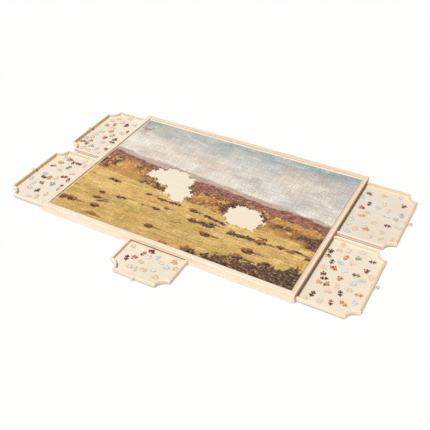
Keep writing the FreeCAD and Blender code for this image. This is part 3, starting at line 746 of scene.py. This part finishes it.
def finish_node(name, material):
    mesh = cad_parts[name].data
    mesh.materials.clear()
    mesh.materials.append(material)
    for face in mesh.polygons:
        face.material_index = 0


for node, finish in CASE_FINISH.items():
    finish_node(node, finish)
for drawer, finishes in DRAWER_FINISH.items():
    for node, finish in zip(DRAWER_PARTS, finishes):
        finish_node(f"{drawer}_{node}", finish)


# --- loose puzzle pieces -------------------------------------------------------------------------

PITCH_X, PITCH_Y = 0.0170, 0.0197  # the puzzle's pieces, from cut to cut
TAB_REACH, TAB_RADIUS = 0.0026, 0.0030
TAB_STEPS = 10
CARD = 0.0020  # its thickness
ROUNDED_HEIGHT, ROUNDED_WIDTH = 0.0004, 0.0003  # the pressed top edge of a piece
LIFT = 0.0001  # a piece lies this far above what carries it


def piece_outline(width, depth, edges, stretch):
    """Corner points of a jigsaw piece. edges says for each side, from the near one round to the
    left, whether it has a tab (1), a blank (-1) or is straight (0)."""
    corners = [(x * width / 2, y * depth / 2) for x, y in ((-1, -1), (1, -1), (1, 1), (-1, 1))]
    radius, centre = TAB_RADIUS * stretch, TAB_REACH * stretch
    neck = math.sqrt(radius * radius - centre * centre)
    lean = math.atan2(centre, neck)
    points = []
    for side, kind in enumerate(edges):
        start, end = Vector(corners[side]), Vector(corners[(side + 1) % 4])
        along = (end - start).normalized()
        out = Vector((along.y, -along.x)) * (kind or 1)
        middle = (start + end) / 2
        points.append(start)
        if kind:
            for step in range(TAB_STEPS + 1):
                angle = math.pi + lean - (math.pi + 2 * lean) * step / TAB_STEPS
                points.append(middle + along * math.cos(angle) * radius
                              + out * (centre + math.sin(angle) * radius))
    return points


def add_piece(geometry, points, place, angle, base, print_index):
    """Appends one piece to the vertices, faces and material numbers of a mesh. Its top edge is
    slightly rounded."""
    vertices, faces, numbers = geometry
    turn = Matrix.Rotation(angle, 2)
    count = len(points)
    rings = []
    for height, inset in ((0.0, 0.0), (CARD - ROUNDED_HEIGHT, 0.0), (CARD, ROUNDED_WIDTH)):
        rings.append(len(vertices))
        for index, point in enumerate(points):
            before, after = points[index - 1], points[(index + 1) % count]
            tangent = (after - before).normalized()
            inner = point + Vector((-tangent.y, tangent.x)) * inset
            spot = turn @ inner + Vector(place)
            vertices.append((spot.x, spot.y, base + height))
    bottom, edge, top = rings
    for lower, upper, number in ((bottom, edge, 0), (edge, top, print_index)):
        for index in range(count):
            other = (index + 1) % count
            faces.append((lower + index, lower + other, upper + other, upper + index))
            numbers.append(number)
    faces.append(tuple(top + index for index in range(count)))
    numbers.append(print_index)
    faces.append(tuple(bottom + index for index in reversed(range(count))))
    numbers.append(0)


def mesh_piece(name, geometry, materials, body):
    vertices, faces, numbers = geometry
    mesh = bpy.data.meshes.new(name)
    mesh.from_pydata(vertices, [], faces)
    piece = add_object(name, mesh, materials)
    for face, number in zip(mesh.polygons, numbers):
        face.material_index = number
    mesh.update()
    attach(piece, body)


# Which way each drawer opens, along x and y.
DRAWERS = {
    "left_back_drawer": (-1, 0),
    "left_front_drawer": (-1, 0),
    "right_back_drawer": (1, 0),
    "right_front_drawer": (1, 0),
    "front_drawer": (0, -1),
}
# The pieces that stand out in each drawer, in mm: where they lie, and their print.
STANDOUTS = {
    "left_back_drawer": [
        (-503, 243, "dark"), (-547, 227, "moss"), (-541, 206, "rose"), (-572, 209, "amber"),
        (-470, 203, "rust"), (-530, 181, "amber"), (-487, 186, "rose"), (-508, 158, "slate"),
        (-484, 138, "dark"), (-481, 118, "dark"), (-526, 133, "rust"), (-560, 93, "rust"),
        (-583, 74, "maroon"), (-566, 70, "rust"), (-537, 62, "slate"), (-472, 69, "maroon"),
        (-530, 256, "sand"), (-592, 98, "blue"), (-512, 102, "blue"), (-562, 163, "blue"),
    ],
    "left_front_drawer": [
        (-545, -50, "moss"), (-524, -58, "rust"), (-502, -56, "maroon"), (-565, -77, "amber"),
        (-520, -90, "moss"), (-577, -106, "rust"), (-498, -143, "maroon"), (-474, -152, "rust"),
        (-565, -169, "dark"), (-542, -170, "rust"), (-520, -160, "sand"), (-468, -189, "maroon"),
        (-468, -211, "rust"), (-509, -194, "azure"), (-545, -206, "rust"), (-530, -246, "maroon"),
        (-491, -250, "sand"), (-597, -200, "blue"), (-568, -38, "blue"), (-492, -33, "blue"),
        (-476, -54, "rose"),
    ],
    "right_back_drawer": [
        (588, 242, "maroon"), (486, 203, "dark"), (530, 226, "sand"), (572, 120, "maroon"),
        (484, 133, "amber"), (469, 172, "rust"), (494, 157, "sand"), (597, 190, "slate"),
        (593, 161, "slate"), (518, 73, "amber"), (485, 62, "sand"), (551, 195, "rose"),
        (469, 255, "moss"), (515, 195, "blue"), (455, 232, "blue"), (463, 106, "blue"),
        (528, 115, "rose"), (540, 48, "blue"),
    ],
    "right_front_drawer": [
        (457, -72, "maroon"), (458, -97, "rust"), (479, -58, "sand"), (505, -45, "sand"),
        (478, -115, "dark"), (492, -139, "rust"), (509, -80, "amber"), (534, -96, "sand"),
        (542, -65, "moss"), (584, -62, "maroon"), (579, -106, "maroon"), (560, -137, "moss"),
        (474, -173, "maroon"), (483, -190, "dark"), (497, -209, "rust"), (475, -213, "amber"),
        (593, -209, "amber"), (545, -227, "dark"), (511, -236, "rose"), (477, -264, "dark"),
        (534, -271, "rust"), (566, -260, "amber"), (522, -170, "rust"), (502, -106, "blue"),
        (524, -133, "mist"),
    ],
    "front_drawer": [
        (-66, -383, "dark"), (-49, -373, "rust"), (-31, -346, "rust"), (-15, -324, "maroon"),
        (68, -335, "amber"), (5, -404, "sand"), (-34, -412, "sand"), (16, -340, "blue"),
        (35, -355, "mist"), (-12, -349, "mist"),
    ],
}
# How many pieces lie in each drawer. A seeded draw adds those that aren't listed above.
TOTALS = {"left_back_drawer": 32, "left_front_drawer": 31, "right_back_drawer": 28,
          "right_front_drawer": 36, "front_drawer": 17}
FIRST_SEED = 40
MOST_TRIES = 4000
OTHER_PRINTS = ("blue", "mist", "mist", "sand", "rose", "sand", "rose")
SIZES = (0.69, 0.83)  # a loose piece without its tabs, as a share of the pitch
TAB_STRETCHES = (0.86, 0.98)
MOST_TURN = 0.5

# From a drawer floor's edge, and from the case, to the pieces' middles.
WALL_CLEARANCE, CASE_CLEARANCE = 0.017, 0.010
APART_WHEN_DRAWN, APART_WHEN_SETTLED = 0.027, 0.0215  # between the pieces' middles
CORNER_CLEARANCE_DRAWN, CORNER_CLEARANCE_SETTLED = 0.056, 0.054
SCREW_CLEARANCE = 0.034
SETTLING_ROUNDS = 60


def screw_seat(drawer):
    """Where a drawer's screw head stands on the inner side of the face, behind the knob, and
    which way it looks."""
    step_x, step_y = DRAWERS[drawer]
    knob_low, knob_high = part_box(f"{drawer}_knob")
    face_low, face_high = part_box(f"{drawer}_face")
    seat = (knob_low + knob_high) / 2
    if step_x:
        seat.x = face_high.x if step_x < 0 else face_low.x
    else:
        seat.y = face_high.y
    return seat, (-step_x, -step_y, 0)


def drawer_room(drawer):
    """The part of a drawer's floor that stays outside the case, without the walls, and its two
    outer corners."""
    low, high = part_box(f"{drawer}_floor")
    case_low, case_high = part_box("left_rail")[0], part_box("right_rail")[1]
    step_x, _ = DRAWERS[drawer]
    left, right = low.x + WALL_CLEARANCE, high.x - WALL_CLEARANCE
    front, back = low.y + WALL_CLEARANCE, high.y - WALL_CLEARANCE
    if step_x < 0:
        right = case_low.x - CASE_CLEARANCE
        corners = [(low.x, low.y), (low.x, high.y)]
    elif step_x > 0:
        left = case_high.x + CASE_CLEARANCE
        corners = [(high.x, low.y), (high.x, high.y)]
    else:
        back = case_low.y - CASE_CLEARANCE
        corners = [(low.x, low.y), (high.x, low.y)]
    return (left, right, front, back), [Vector(corner) for corner in corners]


def settle(points, room, corners, screw):
    """Pushes points that lie too close to each other, a wall, a rounded corner or the screw
    apart."""
    left, right, front, back = room
    obstacles = [(corner, CORNER_CLEARANCE_SETTLED) for corner in corners]
    obstacles.append((screw, SCREW_CLEARANCE))
    for _ in range(SETTLING_ROUNDS):
        for first, point in enumerate(points):
            for other in points[:first]:
                gap = point - other
                if 0 < gap.length < APART_WHEN_SETTLED:
                    push = gap.normalized() * (APART_WHEN_SETTLED - gap.length) / 2
                    point += push
                    other -= push
        for point in points:
            for centre, reach in obstacles:
                gap = point - centre
                if gap.length < reach:
                    point += gap.normalized() * (reach - gap.length)
            point.x = min(max(point.x, left), right)
            point.y = min(max(point.y, front), back)


def scatter(drawer, seed):
    """Lays a drawer's loose pieces: the ones that stand out, and others in the space left."""
    pick = random.Random(seed)
    room, corners = drawer_room(drawer)
    left, right, front, back = room
    points = [Vector((x / 1000, y / 1000)) for x, y, _ in STANDOUTS[drawer]]
    prints = [name for _, _, name in STANDOUTS[drawer]]
    tries = 0
    while len(points) < TOTALS[drawer] and tries < MOST_TRIES:
        tries += 1
        spot = Vector((pick.uniform(left, right), pick.uniform(front, back)))
        clear = all((spot - other).length > APART_WHEN_DRAWN for other in points)
        if clear and all((spot - corner).length > CORNER_CLEARANCE_DRAWN for corner in corners):
            points.append(spot)
            prints.append(pick.choice(OTHER_PRINTS))
    settle(points, room, corners, screw_seat(drawer)[0].xy)
    names = list(PRINTS)
    geometry = ([], [], [])
    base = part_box(f"{drawer}_floor")[1].z + LIFT
    for point, name in zip(points, prints):
        size = pick.uniform(*SIZES)
        first = pick.choice((1, -1))
        edges = pick.choice(((first, -first, first, -first), (1, -1, 1, -1), (1, 1, -1, -1),
                             (1, 1, 1, -1)))
        outline = piece_outline(PITCH_X * size, PITCH_Y * size, edges,
                                pick.uniform(*TAB_STRETCHES))
        angle = pick.uniform(-MOST_TURN, MOST_TURN) + pick.choice((0, 1)) * math.pi / 2
        add_piece(geometry, outline, point, angle, base, 1 + names.index(name))
    mesh_piece(f"{drawer}_loose_pieces", geometry, [card, *PRINTS.values()], drawer)


for number, drawer in enumerate(DRAWERS):
    scatter(drawer, FIRST_SEED + number)

# Two joined pieces lie on the picture, waiting for their place.
PAIR_PLACE = (-0.393, 0.237)
PAIR_TURN = 0.5
PAIR_CUT = 0.0002  # the gap between the two

on_top = ([], [], [])
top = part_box("puzzle")[1].z + LIFT
for offset, edges in ((-0.5, (1, 1, -1, -1)), (0.5, (-1, 1, 1, -1))):
    spot = Vector(PAIR_PLACE) + Matrix.Rotation(PAIR_TURN, 2) @ Vector((offset * PITCH_X, 0.0))
    outline = piece_outline(PITCH_X - PAIR_CUT, PITCH_Y, edges, 1.0)
    add_piece(on_top, outline, spot, PAIR_TURN, top, 1)
mesh_piece("joined_pair", on_top, [card, PRINTS["clay"]], "puzzle")


# --- knob screws ---------------------------------------------------------------------------------

HEAD_SIDES = 24
# The screw head's radius and height, from its foot to the flat on top.
HEAD_PROFILE = ((0.0031, 0.0), (0.0031, 0.0006), (0.0028, 0.0012), (0.0023, 0.0016))
HEAD_TOP = HEAD_PROFILE[-1][1]
# The recess is a cross with four arms, narrower at its bottom.
ARM_LENGTH, ARM_HALF = 0.0015, 0.00035
RECESS_BOTTOM, RECESS_TAPER = 0.0007, 0.75


def blackened_steel():
    material, tree, shader = new_material("blackened_steel")
    patch = noise(tree, object_place(tree), scale=900.0, roughness=0.6)
    set_inputs(tree, shader, {
        "Base Color": mix(tree, patch, colour(66, 50, 38), colour(40, 30, 24)),
        "Roughness": times_plus(tree, patch, 0.2, 0.40),
        "Metallic": 1.0,
    })
    return material


def screw_head(name, centre, facing, body):
    """A pan head with a cross recess. It stands on centre and looks along facing."""
    shape = bmesh.new()

    def pairs(ring):
        return zip(ring, ring[1:] + ring[:1])

    def wall(lower, upper):
        for (low_a, low_b), (high_a, high_b) in zip(pairs(lower), pairs(upper)):
            shape.faces.new((low_a, low_b, high_b, high_a))

    rings = []
    for radius, height in HEAD_PROFILE:
        angles = [2 * math.pi * step / HEAD_SIDES for step in range(HEAD_SIDES)]
        rings.append([shape.verts.new((radius * math.cos(angle), radius * math.sin(angle), height))
                      for angle in angles])
    for lower, upper in zip(rings, rings[1:]):
        wall(lower, upper)
    shape.faces.new(rings[0][::-1])

    quarter = ((ARM_LENGTH, -ARM_HALF), (ARM_LENGTH, ARM_HALF), (ARM_HALF, ARM_HALF))
    cross = []
    for cos, sin in ((1, 0), (0, 1), (-1, 0), (0, -1)):
        cross.extend((x * cos - y * sin, x * sin + y * cos) for x, y in quarter)
    mouth = [shape.verts.new((x, y, HEAD_TOP)) for x, y in cross]
    bottom = [shape.verts.new((x * RECESS_TAPER, y * RECESS_TAPER, RECESS_BOTTOM))
              for x, y in cross]
    wall(mouth, bottom)
    shape.faces.new(bottom)
    rims = [shape.edges.get(pair) for ring in (rings[-1], mouth) for pair in pairs(ring)]
    bmesh.ops.triangle_fill(shape, use_beauty=True, edges=rims)
    bmesh.ops.recalc_face_normals(shape, faces=shape.faces)

    mesh = bpy.data.meshes.new(name)
    shape.to_mesh(mesh)
    shape.free()
    mesh.transform(Vector(facing).to_track_quat("Z", "Y").to_matrix().to_4x4())
    mesh.transform(Matrix.Translation(centre))
    screw = add_object(name, mesh, [steel])
    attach(screw, body)


steel = blackened_steel()
for drawer in DRAWERS:
    seat, facing = screw_seat(drawer)
    screw_head(f"{drawer}_screw", seat, facing, drawer)
